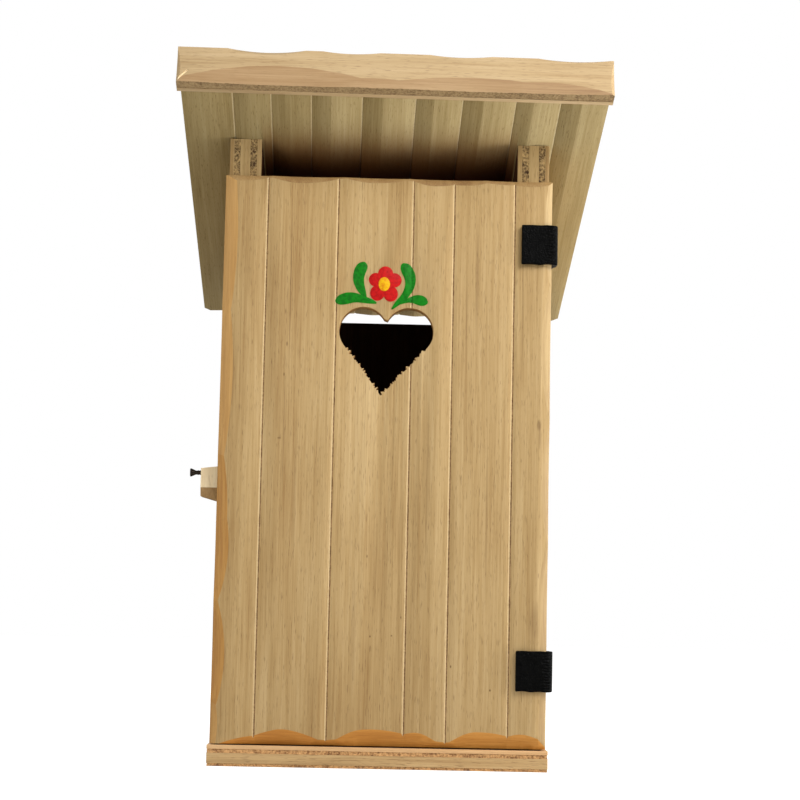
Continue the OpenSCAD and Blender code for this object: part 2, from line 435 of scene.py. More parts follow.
# Along the strip under the door and over the room, the base's top takes painted shade.
base_wood = wood("pale_veneer_base", tone(224, 184, 134), tone(208, 166, 116), tone(186, 142, 92),
                 grain="X", shift=(0.5, 0.4, 0.6), pores=0.2, stain=(73.6, -75.1, -74.5, 78))
# The button is brightened past its wood's own colour: painted light, where the door keeps the key lamp
# off it.
button_wood_painted_light = wood("pale_wood_button_painted_light", tone(255, 240, 204), tone(246, 224, 182), tone(224, 194, 150),
                   shift=(0.4, 0.1, 0.8))
# The inner faces take a near-black wood: painted shade for the closed room, where little light gets in.
inside_shade = wood("painted_shade_wood_inside", tone(78, 46, 24), tone(64, 36, 18), tone(48, 26, 12),
                    shift=(0.8, 0.8, 0.3), **DULL)
print("wooden finishes:", len(bpy.data.materials))


def knife_cut(name, pale, **choices):
    """Knife-cut wood: a colour and two deeper ones, with few pores and a slight sheen."""
    red, green, blue = pale
    return wood("knife_cut_" + name, tone(*pale), tone(red - 16, green - 18, blue - 18),
                tone(red - 40, green - 44, blue - 38), pores=0.15, roughness=0.6, **choices)


door_cut = knife_cut("door", (192, 148, 90))
brown_cut = knife_cut("door_brown", (194, 151, 86))
deep_cut = knife_cut("door_deep", (188, 141, 70))
# The head's scoops lie under the roof: their darker finish is partly the cut wood and partly painted
# shade.
head_cut_painted_shade = knife_cut("door_head_painted_shade", (172, 140, 91))
foot_cut = knife_cut("door_foot", (202, 142, 62), grain="X")
# The right edge's scoops face the lamp: their lighter finish is painted light.
painted_light_cut = knife_cut("door_painted_light", (192, 164, 114))
roof_cut = knife_cut("roof", (188, 152, 98), place=upright_to_roof)
# The strip's lower facet faces down: its browner finish is partly the cut wood and partly painted shade.
strip_cut_and_shade = knife_cut("strip", (180, 148, 106), place=roof_place, grain="X")
button_cut = knife_cut("button", (178, 144, 94), shift=(0.1, 0.7, 0.2))


# %% [markdown]
# ## Torn fibres
# Where a saw crosses the fibres of plywood's inner plies, or tears along the underside of the
# roof's front strip, the surface comes out ragged and dark. A cutter with a ragged face tears
# the same way: a grid is ruffled with noise, thickened into a solid and taken off the piece.

# %% The torn finish and its cutter
def torn(name, pale, dark, share, stain=None):
    """Ragged end grain: light fibres with dark pits between them."""
    finish, tree, shader = new_finish(name, 0.9)
    place = own_place(tree)
    grains = noise(tree, place, 900, 4, 0.7)
    mixed = weighed(tree, (grains, 0.7), (noise(tree, place, 220), 0.3))
    between = tuple((a + b) / 2 for a, b in zip(pale, dark))
    colour = ramp(tree, mixed, [(share - 0.1, dark), (share, between), (share + 0.1, pale)])
    # the room's painted shade, where it is asked for
    if stain:
        colour = painted_room_shade(tree, colour, *stain)
    dress(tree, shader, colour, grains, 0.0004, 0.8)
    return finish


torn_ply = torn("torn_ply", tone(196, 164, 108), tone(54, 26, 6), 0.49)
torn_base = torn("torn_base", tone(206, 158, 102), tone(104, 62, 28), 0.46)
torn_strip = torn("torn_strip", tone(164, 138, 96), tone(120, 94, 60), 0.47)


RUFFLE_SIZE = 1.1 * MM
PAST = 2                                    # how far a cutter runs past the face that it opens, mm


def ruffle(piece, height, seed):
    """Roughens a surface with cloudy noise along its normals."""
    clouds = bpy.data.textures.new("ruffle", "CLOUDS")
    clouds.noise_scale, clouds.noise_depth = RUFFLE_SIZE, 3
    anchor = bpy.data.objects.new("ruffle_anchor", None)
    bpy.context.collection.objects.link(anchor)
    anchor.location = (seed * 0.137, seed * 0.071, seed * 0.193)
    bpy.context.view_layer.update()
    finish_with(piece, "DISPLACE", texture=clouds, texture_coords="OBJECT",
                texture_coords_object=anchor, strength=height * MM, mid_level=0.5)
    bpy.data.objects.remove(anchor, do_unlink=True)


def tear(piece, centre, across, along, width, length, depth, roughness, cell, finish, seed):
    """Takes a ragged skin off a flat face; across and along lie in the face, lengths are in mm."""
    outward = across.cross(along).normalized()
    put_down()
    bpy.ops.mesh.primitive_grid_add(size=1, x_subdivisions=max(3, int(width / cell)),
                                    y_subdivisions=max(3, int(length / cell)))
    cutter = new_piece("ragged_cutter")
    turn = Matrix((across, along, across.cross(along))).transposed().to_4x4()
    cutter.matrix_world = Matrix.Translation(centre - outward * depth * MM) @ turn @ Matrix.Diagonal(
        (width * MM, length * MM, 1, 1))
    bpy.ops.object.transform_apply(location=True, rotation=True, scale=True)
    ruffle(cutter, roughness, seed)
    pick(cutter, "FACE", everything)
    thicken_cutter(cutter, outward * (depth + PAST) * MM, finish)
    carve(piece, cutter)


# %% [markdown]
# ## The base plate
# A square of plywood, 9.4 mm thick. Its top veneer and its thick core are smooth, and the two
# plies that run the other way are torn by the saw. The plate is a resized cube, sliced along the glue
# lines so that its edges can take a finish ply by ply, and its torn plies are cut ragged.

# %% Plywood plies
core_wood = wood("ply_core_base", tone(204, 172, 122), tone(184, 150, 100), tone(146, 112, 68),
                 grain="X", shift=(0.3, 0.2, 0.7), pores=0.4)
core_wall = wood("ply_core_wall", tone(200, 172, 120), tone(181, 151, 99), tone(148, 119, 72),
                 shift=(0.6, 0.8, 0.1), pores=0.3)


def give_finishes(piece, *finishes):
    """Fills a piece's material slots, in order."""
    piece.data.materials.clear()
    for finish in finishes:
        piece.data.materials.append(finish)


def paint_faces(piece, slot, test):
    """Gives the faces that pass the test one of the piece's finishes."""
    pick(piece, "FACE", test)
    piece.active_material_index = slot
    bpy.ops.object.material_slot_assign()
    put_down()


# %% Make the base plate
base_low, base_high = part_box("base_plate")
base_board = block("base_board", base_low, base_high)
give_finishes(base_board, base_wood, core_wood)
BASE_GLUE_LINES = (1.3, 5.9, 7.6)           # heights, mm
BASE_TEARS = ((0.1, 1.3), (5.9, 7.6))
for line in BASE_GLUE_LINES:
    slice_through(base_board, mm(0, 0, line), Z)
paint_faces(base_board, 1, lambda face: abs(face.normal.z) < 0.5
            and middle(face).z < BASE_GLUE_LINES[-1] * MM)
ease_edges(base_board, 0.25)
seed = 1
for low_line, high_line in BASE_TEARS:
    height = (low_line + high_line) / 2 * MM
    for side, along in ((-Y, X), (Y, -X), (-X, -Y), (X, Y)):
        tear(base_board, Vector((side.x * base_high.x, side.y * base_high.y, height)), along, Z,
             width=160, length=high_line - low_line, depth=0.26, roughness=0.75, cell=0.55,
             finish=torn_base, seed=seed)
        seed += 1
print("base plate faces", len(base_board.data.polygons))

# %% [markdown]
# ## The side walls
# Each wall is thick five-ply board. Its outer face is plain veneer and its inner face takes the
# near-black painted shade of the closed room, while its front edge shows the plies end on: two of
# them torn dark by the saw. The top slopes with the roof, so the cube's rear top points are pulled
# down before the slicing.

# %% Make the side walls
WALL_GLUE_LINES = (1.7, 4.9, 9.2, 12.7)     # in from the outer face, mm
wall_drop = (left_high.y - left_low.y) * math.tan(ROOF_PITCH)


def make_side_wall(name, node, outer_side, seed):
    """One plywood side wall, with ragged plies on its front and back edges."""
    low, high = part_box(node)
    wall = block(name, low, high)
    give_finishes(wall, wall_wood, core_wall, inside_shade)
    push_points(wall, lambda p: p.co.z > high.z - MM and p.co.y > high.y - MM, (0, 0, -wall_drop))
    outer = low.x if outer_side < 0 else high.x
    inward = -outer_side
    for line in WALL_GLUE_LINES:
        slice_through(wall, Vector((outer + inward * line * MM, 0, 0)), X)
    paint_faces(wall, 1, lambda face: abs(face.normal.y) > 0.9 and
                WALL_GLUE_LINES[0] * MM < abs(middle(face).x - outer) < WALL_GLUE_LINES[-1] * MM)
    # inner faces take the near-black painted shade of the closed room
    paint_faces(wall, 2, lambda face: face.normal.x * inward > 0.9)
    ease_edges(wall, 0.2)
    for first, last in (WALL_GLUE_LINES[:2], WALL_GLUE_LINES[2:]):
        x = outer + inward * (first + last) / 2 * MM
        for y, across in ((low.y, X), (high.y, -X)):
            tear(wall, Vector((x, y, (low.z + high.z) / 2)), across, Z, width=last - first - 0.3,
                 length=300, depth=0.3, roughness=0.9, cell=0.6, finish=torn_ply, seed=seed)
            seed += 1
    print(name, "has", len(wall.data.polygons), "faces")
    return wall


left_side = make_side_wall("left_side", "left_wall", -1, 20)
right_side = make_side_wall("right_side", "right_wall", 1, 30)

# %% [markdown]
# ## Carved boards
# The door, the back and the roof are single panels, carved to look like boards side by side.
# Each carved board rises from a valley to a soft ridge and falls to the next valley, and the
# knife left a fine nick along each valley. On the bench every panel stands upright with its
# carved face towards -Y: it is sliced along the valleys and ridges, and the valleys are pushed in.

# %% Carve boards in a panel
FLUTE_DEEP, RIDGE_SHARE = 0.8, 0.38
BROAD_RIDGE, NARROW_RIDGE = 3.0, 1.2
NICK_WIDE, NICK_DEEP = 1.1, 0.4
CLOSE = 0.05                                # as near as makes no difference, mm


def carve_boards(panel, valleys, ridge_round, painted_light_slot, painted_shade_slot):
    """Carves boards along Z in the face that looks along -Y; the two sides of a nick take painted light
    and painted shade.
    """
    xs = [corner[0] for corner in panel.bound_box]
    front = min(corner[1] for corner in panel.bound_box)
    width, left = max(xs) - min(xs), min(xs)
    valley_xs = [left + share * width for share in valleys]
    ends = valley_xs[1:] + [left + width]
    ridge_xs = [x + RIDGE_SHARE * (end - x) for x, end in zip(valley_xs, ends)]
    for x in valley_xs:
        for step in (-1, 0, 1):
            slice_through(panel, Vector((x + step * NICK_WIDE / 2 * MM, 0, 0)), X)
    for x in ridge_xs:
        slice_through(panel, Vector((x, 0, 0)), X)

    def near(x, places, reach):
        """Whether x is within reach, in mm, of one of the places."""
        return any(abs(x - place) < reach * MM for place in places)

    def nick_side(face, shift):
        """Whether a face is the side of a nick whose valley is that way."""
        return (near(middle(face).x + shift * NICK_WIDE * MM, valley_xs, CLOSE)
                and face.normal.y < -0.1 and middle(face).y < front + 2 * MM)

    push_points(panel, lambda p: p.co.y < front + 0.01 * MM and near(p.co.x, valley_xs, NICK_WIDE * 0.6),
                mm(0, FLUTE_DEEP, 0))
    push_points(panel, lambda p: p.co.y < front + (FLUTE_DEEP + 0.01) * MM
                and near(p.co.x, valley_xs, CLOSE), mm(0, NICK_DEEP, 0))
    paint_faces(panel, painted_light_slot, lambda face: nick_side(face, 0.25))
    paint_faces(panel, painted_shade_slot, lambda face: nick_side(face, -0.25))
    pick(panel, "EDGE", lambda e: all(abs(p.co.y - front) < 0.01 * MM and near(p.co.x, ridge_xs, CLOSE)
                                      for p in e.verts))
    bpy.ops.mesh.bevel(offset=ridge_round * MM, segments=4, affect="EDGES")
    put_down()
    print(panel.name, "valleys at", [round(x / MM, 1) for x in valley_xs])


# The two sides of a nick: the side that faces the lamp takes a lighter finish, painted light, and the
# other a darker one, painted shade.
nick_painted_light = torn("nick_painted_light", tone(214, 186, 138), tone(190, 158, 108), 0.42)
nick_painted_shade = torn("nick_painted_shade", tone(164, 130, 84), tone(104, 72, 38), 0.52)
roof_nick_painted_light = torn("nick_painted_light_roof", tone(196, 178, 136), tone(178, 158, 114), 0.45, stain=ROOM)

# %% [markdown]
# ## Whittling an edge
# A knife drawn along an edge takes off long shallow scoops. Each scoop is the bite of a very big
# cylinder lying across the edge: its reach over the face, its reach over the side and its length
# along the edge are all that a scoop needs. Where two scoops overlap they meet in a low cusp.

# %% The scoop
CUTTER_LONG = 34 * MM


def scoop(piece, spot, face_way, side_way, on_face, on_side, length, finish):
    """Bites one scoop out of an edge; face_way and side_way run from the edge into the two faces."""
    outward = -(face_way * on_side + side_way * on_face).normalized()
    slope = (face_way * on_face - side_way * on_side).normalized()
    deep = on_face * on_side / math.hypot(on_face, on_side)
    radius = (length ** 2 / 4 + deep ** 2) / (2 * deep)
    put_down()
    bpy.ops.mesh.primitive_cylinder_add(vertices=360, radius=radius * MM, depth=CUTTER_LONG)
    cutter = new_piece("scoop_cutter")
    lay(cutter, Matrix.Translation(spot + outward * (radius - deep) * MM)
        @ slope.to_track_quat("Z", "Y").to_matrix().to_4x4())
    cutter.data.materials.append(finish)
    carve(piece, cutter)


def scoop_row(piece, corner, along, face_way, side_way, rows, finish):
    """Scoops along an edge: each row is its place along the edge, its two reaches and its length."""
    for place, on_face, on_side, length in rows:
        scoop(piece, corner + along * (place * MM), face_way, side_way, on_face, on_side, length, finish)


# %% [markdown]
# ## The heart
# The heart was sawn through the door: two round lobes and two straight sides, with fibres torn
# out along the sides, where the saw crossed the grain at a slant. The cutter starts as a circle
# of many points. Each point is moved to its place on the heart, with a little seeded raggedness
# on the straight sides, and the outline is extruded through the door.

# %% Heart cutter
HEART_RADIUS, HEART_HALF, HEART_TIP, HEART_LEAN, HEART_NOTCH = 11.05, 21.5, 29.5, 1.9, 5.1
ROUND_STEPS, SIDE_STEPS = 56, 72            # points round a lobe and down a side
BIG_TEETH, SMALL_TEETH = 0.22, 0.7          # up to these shares of the dice
lobe = HEART_HALF - HEART_RADIUS


def on_lobe(side, angle):
    """A place on the round of the left or the right lobe."""
    return Vector((side * lobe + HEART_RADIUS * math.cos(angle), HEART_RADIUS * math.sin(angle)))


def leave(side, tip):
    """Angle at which the straight side touches a lobe, seen from the lobe's middle."""
    gap = tip - Vector((side * lobe, 0))
    return math.atan2(gap.y, gap.x) + side * math.acos(HEART_RADIUS / gap.length)


def heart_outline():
    """Places round the heart in mm, from the notch over the right lobe, round the tip and back."""
    dice = random.Random(7)
    tip = Vector((-HEART_LEAN, -HEART_TIP))
    notch = math.asin(HEART_NOTCH / HEART_RADIUS)
    start, stop = math.pi - notch, leave(1, tip)
    path = [on_lobe(1, start + (stop - start) * i / ROUND_STEPS) for i in range(ROUND_STEPS)]
    right_foot = on_lobe(1, stop)
    path += [right_foot.lerp(tip, i / SIDE_STEPS) for i in range(SIDE_STEPS)]
    start = leave(-1, tip)
    left_foot = on_lobe(-1, start)
    path += [tip.lerp(left_foot, i / SIDE_STEPS) for i in range(SIDE_STEPS)]
    turn = notch - (2 * math.pi if start < 0 else 0) - start
    path += [on_lobe(-1, start + turn * i / ROUND_STEPS) for i in range(ROUND_STEPS)]
    for first, foot, end in ((ROUND_STEPS, right_foot, tip), (ROUND_STEPS + SIDE_STEPS, tip, left_foot)):
        away = Vector((foot - end).normalized().yx) * Vector((-1, 1))
        for i in range(first + 2, first + SIDE_STEPS - 2):
            tooth = dice.random()
            path[i] += away * (dice.uniform(0.5, 1.4) if tooth < BIG_TEETH else
                               dice.uniform(-0.35, 0.45) if tooth < SMALL_TEETH else
                               dice.uniform(-0.12, 0.12))
    return path


def make_heart_cutter(centre_z, front, back, finish):
    """A solid in the shape of the heart, running right through the door."""
    path = heart_outline()
    put_down()
    bpy.ops.mesh.primitive_circle_add(vertices=len(path), radius=HEART_HALF * MM, fill_type="NGON",
                                      rotation=(math.pi / 2, 0, 0))
    bpy.ops.object.transform_apply(rotation=True)
    cutter = new_piece("heart_cutter")
    pick(cutter, "VERT", everything)
    mesh = bmesh.from_edit_mesh(cutter.data)
    for point, place in zip(mesh.verts, path):
        point.co = mm(place.x, front - PAST, centre_z + place.y)
    bmesh.update_edit_mesh(cutter.data)
    thicken_cutter(cutter, mm(0, back - front + 2 * PAST, 0), finish)
    return cutter


# %% [markdown]
# ## The door
# The panel is carved first, then sawn through for the heart, and its four edges are whittled
# last, as the overlapping cuts show. The scoops along the left edge are the widest; those along
# the foot are long and even; those on the right are narrow.

# %% Carve the door
door_low, door_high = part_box("door_panel")
DOOR_VALLEYS = (0.13, 0.345, 0.575, 0.7, 0.885)
HEART_DROP = 71                             # from the door's upper edge to the lobes' middle, mm
door_board = block("door_board", door_low - mm(0, 0, 0.3), door_high)
give_finishes(door_board, door_wood, door_cut, nick_painted_light, nick_painted_shade, brown_cut, deep_cut, head_cut_painted_shade,
              foot_cut, painted_light_cut)
carve_boards(door_board, DOOR_VALLEYS, BROAD_RIDGE, 2, 3)
heart_z = door_high.z / MM - HEART_DROP
carve(door_board, make_heart_cutter(heart_z, door_low.y / MM, door_high.y / MM, door_cut))

# %% Whittle the door's edges
LEFT_SCOOPS = (((240, 6.9, 2.8, 120), (176, 6.3, 2.6, 108)),
               ((112, 5.6, 2.6, 80), (98, 6.7, 2.9, 60), (49, 6.2, 2.7, 60)),
               ((18, 3.6, 2.2, 36),))
RIGHT_SCOOPS = ((246, 3.4, 2.0, 60), (190, 4.2, 2.2, 66), (128, 3.4, 2.0, 60), (72, 4.2, 2.2, 66),
                (20, 3.6, 2, 52))
FOOT_SCOOPS = ((-21, 3.4, 2.2, 52), (28, 3.4, 2.2, 52), (-44, 6.8, 2.6, 54), (3.5, 8.4, 2.9, 62),
               (52, 8.0, 2.8, 58), (76, 4.5, 2.0, 34))
HEAD_SCOOPS = ((-66, 3.2, 2.4, 40), (-38, 3.6, 2.6, 46), (-4, 2.8, 2.2, 44), (26, 3.8, 2.6, 50),
               (60, 3.0, 2.4, 44))
for rows, finish in zip(LEFT_SCOOPS, (brown_cut, deep_cut, brown_cut)):
    scoop_row(door_board, Vector((door_low.x, door_low.y, 0)), Z, X, Y, rows, finish)
scoop_row(door_board, Vector((door_high.x, door_low.y, 0)), Z, -X, Y, RIGHT_SCOOPS, painted_light_cut)
scoop_row(door_board, Vector((0, door_low.y, door_low.z)), X, Z, Y, FOOT_SCOOPS, foot_cut)
scoop_row(door_board, Vector((0, door_low.y, door_high.z)), X, -Z, Y, HEAD_SCOOPS, head_cut_painted_shade)
ease_edges(door_board, 0.12, 40)
print("door faces", len(door_board.data.polygons))

# %% [markdown]
# ## The back
# The back is the same carved board with even boards, and it was whittled less: shallow scoops
# along its upper edge and its two sides. It is made facing the front and turned round.

# %% Make the back
BACK_BOARDS = 6
BACK_HEAD_SCOOPS = ((-60, 3, 2, 40), (-22, 3.4, 2.2, 50), (20, 3.0, 2.2, 44), (58, 3.6, 2.2, 48))
BACK_SIDE_SCOOPS = ((190, 3.4, 2.2, 56), (136, 4.0, 2.4, 60), (84, 3.4, 2.2, 54), (30, 3.8, 2.4, 56))
back_size = back_high - back_low
half_back = back_size.x / 2
back_board = block("back_board", Vector((-half_back, 0, 0)),
                   Vector((half_back, back_size.y, back_size.z)))
back_cut = knife_cut("back", (190, 148, 92), shift=(0.2, 0.2, 0.2))
give_finishes(back_board, back_wood, back_cut, nick_painted_light, nick_painted_shade, inside_shade)
carve_boards(back_board, [i / BACK_BOARDS for i in range(1, BACK_BOARDS)], BROAD_RIDGE, 2, 3)
scoop_row(back_board, Vector((0, 0, back_size.z)), X, -Z, Y, BACK_HEAD_SCOOPS, back_cut)
for side in (-1, 1):
    scoop_row(back_board, Vector((side * half_back, 0, 0)), Z, -side * X, Y, BACK_SIDE_SCOOPS, back_cut)
# the inner face takes the near-black painted shade of the closed room
paint_faces(back_board, 4, lambda face: face.normal.y > 0.9 and middle(face).y > back_size.y - 0.1 * MM)
lay(back_board, Matrix.Translation((0, back_high.y, back_low.z)) @ Matrix.Rotation(math.pi, 4, "Z"))
ease_edges(back_board, 0.12, 40)

# %% [markdown]
# ## The roof panel
# The widest carved panel, with its carved face down. It is carved upright on the bench like the
# door and laid in its place with the roof's matrix. Its upper face is plain sawn wood, and its
# rear corners were rounded with two strokes of the knife.

# %% Make the roof panel
ROOF_VALLEYS = (0.12, 0.21, 0.305, 0.425, 0.55, 0.66, 0.785, 0.89)
ROOF_SIDE_SCOOPS = ((-78, 2.4, 1.8, 60), (-22, 3.0, 2.0, 66), (36, 2.4, 1.8, 60), (84, 2.8, 2.0, 50))
ROOF_REAR_SCOOPS = ((-74, 3.0, 2.2, 52), (-28, 3.6, 2.4, 58), (22, 3.0, 2.2, 52), (70, 3.6, 2.4, 58))
PAINTED_LIGHT_FROM, CORNER_CUT = -30 * MM, 1.5 * MM   # where the painted light on the boards starts; size of a cut corner
roof_board = block("roof_board", Vector((-roof_width / 2, 0, -roof_length / 2)),
                   Vector((roof_width / 2, ROOF_THICK, roof_length / 2)))
give_finishes(roof_board, roof_wood, roof_cut, roof_nick_painted_light, roof_under_painted_light, roof_under_painted_shade)
carve_boards(roof_board, ROOF_VALLEYS, NARROW_RIDGE, 2, 4)
# The carved underside takes the painted-shade wood; on its right part the slopes that face right take the
# painted-light wood.
paint_faces(roof_board, 4, lambda face: face.normal.y < -0.9 and face.material_index == 0)
paint_faces(roof_board, 3, lambda face: face.material_index == 4 and face.normal.x > -0.01
            and middle(face).x > PAINTED_LIGHT_FROM)
for side in (-1, 1):
    shave(roof_board, Vector((side * (roof_width / 2 - CORNER_CUT), 0, -roof_length / 2 + CORNER_CUT)),
          Vector((side, 0, -1)).normalized())
    scoop_row(roof_board, Vector((side * roof_width / 2, ROOF_THICK, 0)), Z, -side * X, -Y,
              ROOF_SIDE_SCOOPS, roof_cut)
scoop_row(roof_board, Vector((0, ROOF_THICK, -roof_length / 2)), X, Z, -Y, ROOF_REAR_SCOOPS, roof_cut)
lay(roof_board, upright_to_roof)
ease_edges(roof_board, 0.12, 40)
print("roof panel faces", len(roof_board.data.polygons))

# %% [markdown]
# ## The front strip
# A strip stands across the front of the roof, its grain along its length. The knife worked along
# its upper and lower front edges, leaving a wavy top and a lower facet whose browner finish is
# partly the cut wood and partly painted shade, as the facet faces down. The front of its
# underside is torn, and a slip of the knife left a short pale gouge near its left end.

# %% Make the front strip
STRIP_SIDE, STRIP_HIGH, STRIP_THICK = 1.8 * MM, 18.2 * MM, 8.2 * MM
strip_front = -roof_length / 2 - STRIP_THICK
strip_end = roof_width / 2 + STRIP_SIDE
front_strip = block("front_strip", Vector((-strip_end, strip_front, 0)),
                    Vector((strip_end, -roof_length / 2, STRIP_HIGH)))
give_finishes(front_strip, strip_wood, strip_cut_and_shade)
LOWER_SCOOPS = ((-52, 9.6, 1.6, 102), (-10, 4.8, 1.1, 58), (34, 6.8, 1.4, 104), (66, 5.6, 1.2, 66))
UPPER_SCOOPS = ((-58, 2.9, 2.7, 35), (-20, 1.1, 1.5, 26), (29, 1.1, 1.5, 28), (80, 1.6, 1.9, 33))
scoop_row(front_strip, Vector((0, strip_front, 0)), X, Z, Y, LOWER_SCOOPS, strip_cut_and_shade)
scoop_row(front_strip, Vector((0, strip_front, STRIP_HIGH)), X, -Z, Y, UPPER_SCOOPS, strip_wood)
for side in (-1, 1):
    scoop(front_strip, Vector((side * strip_end, strip_front, 6 * MM)), -side * X, Y,
          on_face=1.6, on_side=1.4, length=22, finish=strip_wood)
gouge = block("gouge_cutter", mm(-3.4, -0.5, -0.4), mm(3.4, 0.5, 0.4))
lay(gouge, Matrix.Translation(Vector((-strip_end + 2.6 * MM, strip_front, 3.4 * MM)))
    @ Matrix.Rotation(math.radians(-48), 4, "Y"))
gouge.data.materials.append(button_wood_painted_light)
carve(front_strip, gouge)
ease_edges(front_strip, 0.15, 40)
tear(front_strip, Vector((0, strip_front + 2.6 * MM, 0)), X, -Y, width=2 * strip_end / MM + 2,
     length=6.2, depth=0.2, roughness=0.5, cell=0.55, finish=torn_strip, seed=50)
lay(front_strip, roof_place)
print("front strip faces", len(front_strip.data.polygons))

# %% [markdown]
# ## The painted flower
# A small red flower with a yellow eye sits over the heart, between four green leaves. The paint
# is thick enough to stand proud of the wood. Each blob is a solid outline pushed through a thin
# skin that follows the carved face, so that the paint goes down into the carving as it should.

# %% Paint finishes and the skin it lies in
def paint(name, colour, darker):
    """Brushed acrylic paint, slightly uneven."""
    finish, tree, shader = new_finish(name, 0.5, Specular_IOR_Level=0.2)
    strokes = noise(tree, own_place(tree), 700, 3, 0.6)
    dress(tree, shader, ramp(tree, strokes, [(0.35, darker), (0.6, colour)]), strokes, 0.0001, 0.5)
    return finish


red_paint = paint("red_paint", tone(192, 10, 8), tone(158, 0, 2))
yellow_paint = paint("yellow_paint", tone(226, 176, 0), tone(206, 128, 0))
green_paint = paint("green_paint", tone(6, 124, 10), tone(0, 96, 4))


def paint_blob(name, outline, proud, finish):
    """Keeps the part of a solid outline that lies in a skin on the door's carved face."""
    skin = block("skin", door_low, door_high)
    give_finishes(skin, door_wood, door_cut, nick_painted_light, nick_painted_shade)
    carve_boards(skin, DOOR_VALLEYS, BROAD_RIDGE, 2, 3)
    lay(skin, Matrix.Translation(mm(0, -proud, 0)))
    give_finishes(skin, finish)
    give_finishes(outline, finish)
    carve(outline, skin, "INTERSECT")
    outline.name = outline.data.name = name
    ease_edges(outline, 0.1, 50)
    return outline


# %% Outlines of petals, eye and leaves
PAINT_DEEP = 1.6                            # how far an outline reaches into the wood, mm
FLOWER_X, FLOWER_Z, FLOWER_CORE = -1.2, 218.3, 8.6
PETALS = ((0.3, 4.9, 6.9, 6.8), (4.4, 2.0, 6.6, 6.6), (2.8, -4.3, 6.6, 7.2), (-3.3, -4.1, 6.6, 7.1),
          (-4.0, 2.0, 6.6, 6.3))            # x and z from the core, wide, tall


def disc(x, z, wide, tall):
    """A short cylinder through the door's face; x and z are from the flower's middle."""
    put_down()
    bpy.ops.mesh.primitive_cylinder_add(vertices=48, radius=0.5, depth=1)
    piece = new_piece("disc")
    lay(piece, Matrix.Translation(Vector(((FLOWER_X + x) * MM, door_low.y, (FLOWER_Z + z) * MM)))
        @ Matrix.Rotation(math.pi / 2, 4, "X")
        @ Matrix.Diagonal((wide * MM, tall * MM, 2 * PAINT_DEEP * MM, 1)))
    return piece


def unite(pieces):
    """Joins overlapping solids into one."""
    whole = pieces[0]
    for other in pieces[1:]:
        carve(whole, other, "UNION")
    return whole


petals = unite([disc(0, 0, FLOWER_CORE, FLOWER_CORE)] + [disc(*petal) for petal in PETALS])
flower_petals = paint_blob("flower_petals", petals, 0.16, red_paint)
flower_eye = paint_blob("flower_eye", disc(-0.2, 0.1, 5.2, 6.4), 0.26, yellow_paint)


def stroke(points):
    """One brush stroke: a round of paint at each (x, z, width), joined along its path."""
    put_down()
    bpy.ops.curve.primitive_bezier_curve_add()
    path = bpy.context.object
    path.data.splines.clear()
    spline = path.data.splines.new("NURBS")
    spline.points.add(len(points) - 1)
    for point, (x, z, wide) in zip(spline.points, points):
        point.co = (x * MM, door_low.y, z * MM, 1)
        point.radius = wide / 2
    spline.use_endpoint_u, spline.order_u, spline.resolution_u = True, 3, 6
    path.data.bevel_depth, path.data.bevel_resolution = MM, 5
    path.data.use_fill_caps = True
    path.data.twist_mode = "MINIMUM"
    bpy.ops.object.convert(target="MESH")
    piece = new_piece("stroke")
    pick(piece, "VERT", everything)
    bpy.ops.mesh.remove_doubles(threshold=0.002 * MM)
    bpy.ops.mesh.normals_make_consistent(inside=False)
    put_down()
    lay(piece, Matrix.Translation((0, door_low.y, 0)) @ Matrix.Diagonal((1, 3, 1, 1))
        @ Matrix.Translation((0, -door_low.y, 0)) @ piece.matrix_world)
    return piece


LEAF_STROKES = (                            # x, z and width at points along each stroke
    ((-9.4, 211.0, 0.5), (-10.6, 213.6, 2.6), (-12.4, 216.8, 4.3), (-13.4, 220.8, 5.2),
     (-12.6, 224.4, 5.6), (-11.4, 226.4, 5.2), (-10.8, 227.8, 3.4), (-10.6, 228.4, 0.9)),
    ((-4.8, 209.5, 0.6), (-6.6, 210.2, 2.3), (-10.6, 211.0, 3.2), (-14.6, 212.0, 4.6),
     (-18.4, 211.6, 5.6), (-21.2, 210.7, 4.9), (-23.0, 210.2, 2.9), (-23.6, 210.1, 0.9)),
    ((2.2, 206.9, 0.6), (4.2, 209.2, 2.4), (8.0, 212.8, 3.2), (10.5, 217.6, 4.4),
     (10.5, 222.0, 5.4), (8.6, 225.6, 5.6), (7.2, 227.4, 3.8), (6.8, 228.2, 0.9)),
    ((6.2, 209.4, 0.5), (8.4, 210.8, 1.6), (11.0, 211.6, 2.8), (13.6, 211.7, 4.7),
     (16.4, 210.9, 4.9), (18.0, 210.4, 3.0), (18.6, 210.3, 0.8)),
)
leaves = unite([stroke(points) for points in LEAF_STROKES])
flower_leaves = paint_blob("flower_leaves", leaves, 0.14, green_paint)
print("paint faces", [len(p.data.polygons) for p in (flower_petals, flower_eye, flower_leaves)])

# %% [markdown]
# ## The leather straps
# Each hinge is one strip of black leather: glued to the side wall, free for a few millimetres
# over the door's gap, round the door's corner and onto its face. A strap is cut flat, as a grid
# of small squares, wrapped along that path, and given its thickness.

